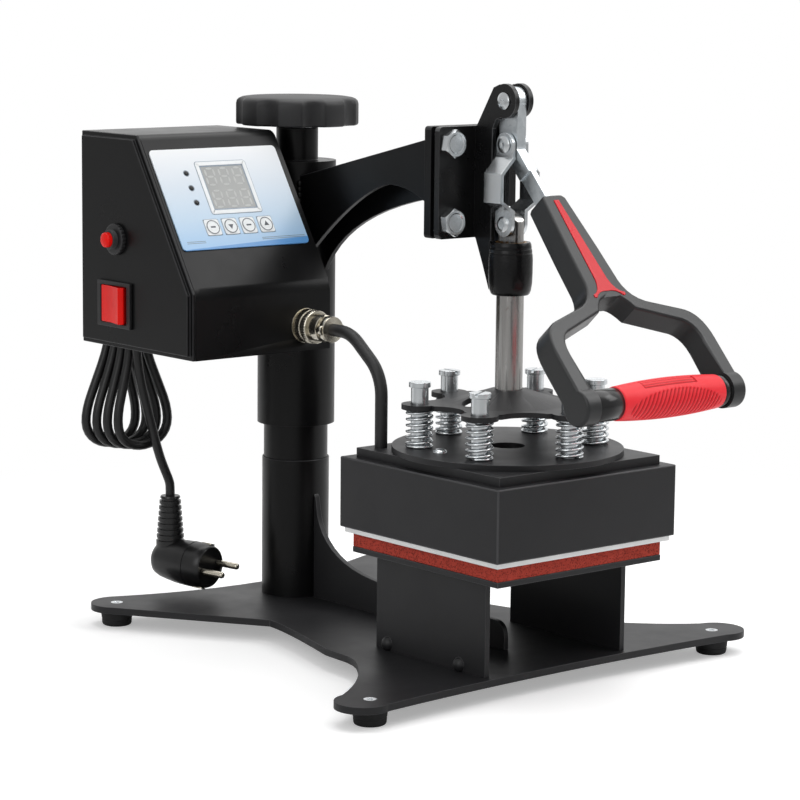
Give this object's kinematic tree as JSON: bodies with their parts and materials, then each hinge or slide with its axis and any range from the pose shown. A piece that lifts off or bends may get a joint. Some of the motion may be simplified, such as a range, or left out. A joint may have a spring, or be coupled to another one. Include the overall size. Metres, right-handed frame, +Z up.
{
  "type": "swing-away heat press",
  "caption": "Small swing-away heat press: square heated head on a lever toggle over a silicone pad, control box on the post.",
  "frame": {"origin": "on the floor, at the middle of the press's own bounding box seen from above, the mains cord left out", "axes": "+Z up, -Y to the front where the handle is, +X to the right of someone facing the front; the plunger axis stands 73.9 mm in front of the origin and the post axis 161.5 mm behind it, both at x = 0"},
  "size_m": [0.366, 0.4898, 0.4065],
  "materials": {
    "black_paint": "satin powder coat",
    "black_rubber": "moulded",
    "red_silicone": "sponge",
    "zinc_steel": "bright zinc plate",
    "ground_steel": "ground",
    "nickel": "bright",
    "bare_aluminium": "machined",
    "black_plastic": "fine grain",
    "grey_plastic": "satin",
    "red_plastic": "glossy",
    "red_grip": "ribbed",
    "label_film": "printed film",
    "display_glass": "smoked window",
    "key_film": "domed",
    "board": "solder mask",
    "bronze": "sintered",
    "wool": "ceramic wool",
    "cord_skin": "smooth"
  },
  "bodies": {
    "base": {"base_plate": "black_paint", "rubber_feet": "black_rubber", "foot_screws": "zinc_steel", "base_rib": "black_paint", "stand_legs": "black_paint", "lower_plate": "black_paint", "silicone_pad": "red_silicone", "post_tube": "black_paint", "inner_post": "black_paint"},
    "lift": {"thrust_washer": "zinc_steel"},
    "knob": {"adjusting_knob": "black_plastic", "adjusting_screw": "zinc_steel"},
    "arm": {"swing_sleeve": "black_paint", "sleeve_cap": "black_paint", "arm_plates": "black_paint", "arm_end_plate": "black_paint", "toggle_flange": "black_paint", "toggle_plates": "black_paint", "flange_bolts": "zinc_steel", "guide_sleeve": "black_paint", "guide_bush": "bronze", "lead_socket": "nickel", "lead_plug": "nickel", "box_shell": "black_paint", "box_side_cover": "black_paint", "fascia_panel": "label_film", "display_window": "display_glass", "circuit_board": "board", "rocker_bezel": "black_plastic", "reset_collar": "black_plastic", "cord_gland": "black_plastic", "cord_hank": "cord_skin", "cord_tie": "black_plastic", "cord_lead": "cord_skin", "plug_body": "black_plastic", "plug_pins": "nickel"},
    "handle": {"lever_bar": "ground_steel", "handle_frame": "grey_plastic", "handle_inlay": "red_plastic", "grip_sleeve": "red_grip", "toggle_pins": "zinc_steel"},
    "links": {"toggle_links": "zinc_steel"},
    "platen": {"spring_posts": "zinc_steel", "spring_disc": "black_paint", "disc_screws": "zinc_steel", "platen_top_plate": "black_paint", "platen_housing": "black_paint", "insulation_block": "wool", "heating_plate": "bare_aluminium", "compression_springs": "zinc_steel", "heater_lead": "cord_skin"},
    "plunger": {"plunger_rod": "ground_steel", "spring_plate": "black_paint"},
    "key_1": {"key_1": "key_film"},
    "key_2": {"key_2": "key_film"},
    "key_3": {"key_3": "key_film"},
    "key_4": {"key_4": "key_film"},
    "rocker": {"rocker_button": "red_plastic"},
    "reset": {"reset_button": "red_plastic"},
    "lead_ring": {"coupling_ring": "nickel"}
  },
  "joints": [
    {"name": "arm_height", "type": "slide", "parent": "base", "child": "lift", "axis": [0, 0, 1], "range_m": [0, 0.012]},
    {"name": "knob_turn", "type": "hinge", "parent": "lift", "child": "knob", "pos_m": [0, 0.1615, 0.4], "axis": [0, 0, 1], "range_deg": [0, 1080]},
    {"name": "arm_swing", "type": "hinge", "parent": "lift", "child": "arm", "pos_m": [0, 0.1615, 0.3], "axis": [0, 0, 1], "range_deg": [-150, 80]},
    {"name": "handle_lift", "type": "hinge", "parent": "arm", "child": "handle", "pos_m": [0, -0.0739, 0.3949], "axis": [-1, 0, 0], "range_deg": [0, 95]},
    {"name": "link_pivot", "type": "hinge", "parent": "handle", "child": "links", "pos_m": [0, -0.0739, 0.3657], "axis": [-1, 0, 0], "range_deg": [-127.7, 0]},
    {"name": "platen_slide", "type": "slide", "parent": "arm", "child": "platen", "axis": [0, 0, 1], "range_m": [0, 0.02929], "deforming": ["heater_lead"]},
    {"name": "plunger_slide", "type": "slide", "parent": "platen", "child": "plunger", "axis": [0, 0, 1], "range_m": [0, 0.011], "deforming": ["compression_springs"]},
    {"name": "lead_ring_turn", "type": "hinge", "parent": "arm", "child": "lead_ring", "pos_m": [-0.06, 0.0678, 0.2318], "axis": [0, -1, 0], "range_deg": [0, 540]},
    {"name": "rocker_press", "type": "hinge", "parent": "arm", "child": "rocker", "pos_m": [-0.1564, 0.1646, 0.2447], "axis": [0, 0, 1], "range_deg": [0, 18]},
    {"name": "reset_press", "type": "slide", "parent": "arm", "child": "reset", "axis": [1, 0, 0], "range_m": [0, 0.003], "stiffness_N_per_m": 400, "springref_m": -0.001},
    {"name": "key_1_press", "type": "slide", "parent": "arm", "child": "key_1", "axis": [0, 0.8437, -0.5368], "range_m": [0, 0.0006], "stiffness_N_per_m": 600, "springref_m": -0.0005},
    {"name": "key_2_press", "type": "slide", "parent": "arm", "child": "key_2", "axis": [0, 0.8437, -0.5368], "range_m": [0, 0.0006], "stiffness_N_per_m": 600, "springref_m": -0.0005},
    {"name": "key_3_press", "type": "slide", "parent": "arm", "child": "key_3", "axis": [0, 0.8437, -0.5368], "range_m": [0, 0.0006], "stiffness_N_per_m": 600, "springref_m": -0.0005},
    {"name": "key_4_press", "type": "slide", "parent": "arm", "child": "key_4", "axis": [0, 0.8437, -0.5368], "range_m": [0, 0.0006], "stiffness_N_per_m": 600, "springref_m": -0.0005}
  ],
  "couplings": [
    {"joint": "knob_turn", "follows": "arm_height", "rad_per_m": 1570.8},
    {"joint": "link_pivot", "follows": "handle_lift", "ratio": -1.344},
    {"joint": "platen_slide", "follows": "handle_lift", "m_per_rad": 0.017662},
    {"joint": "plunger_slide", "follows": "handle_lift", "m_per_rad": 0.0066336}
  ]
}
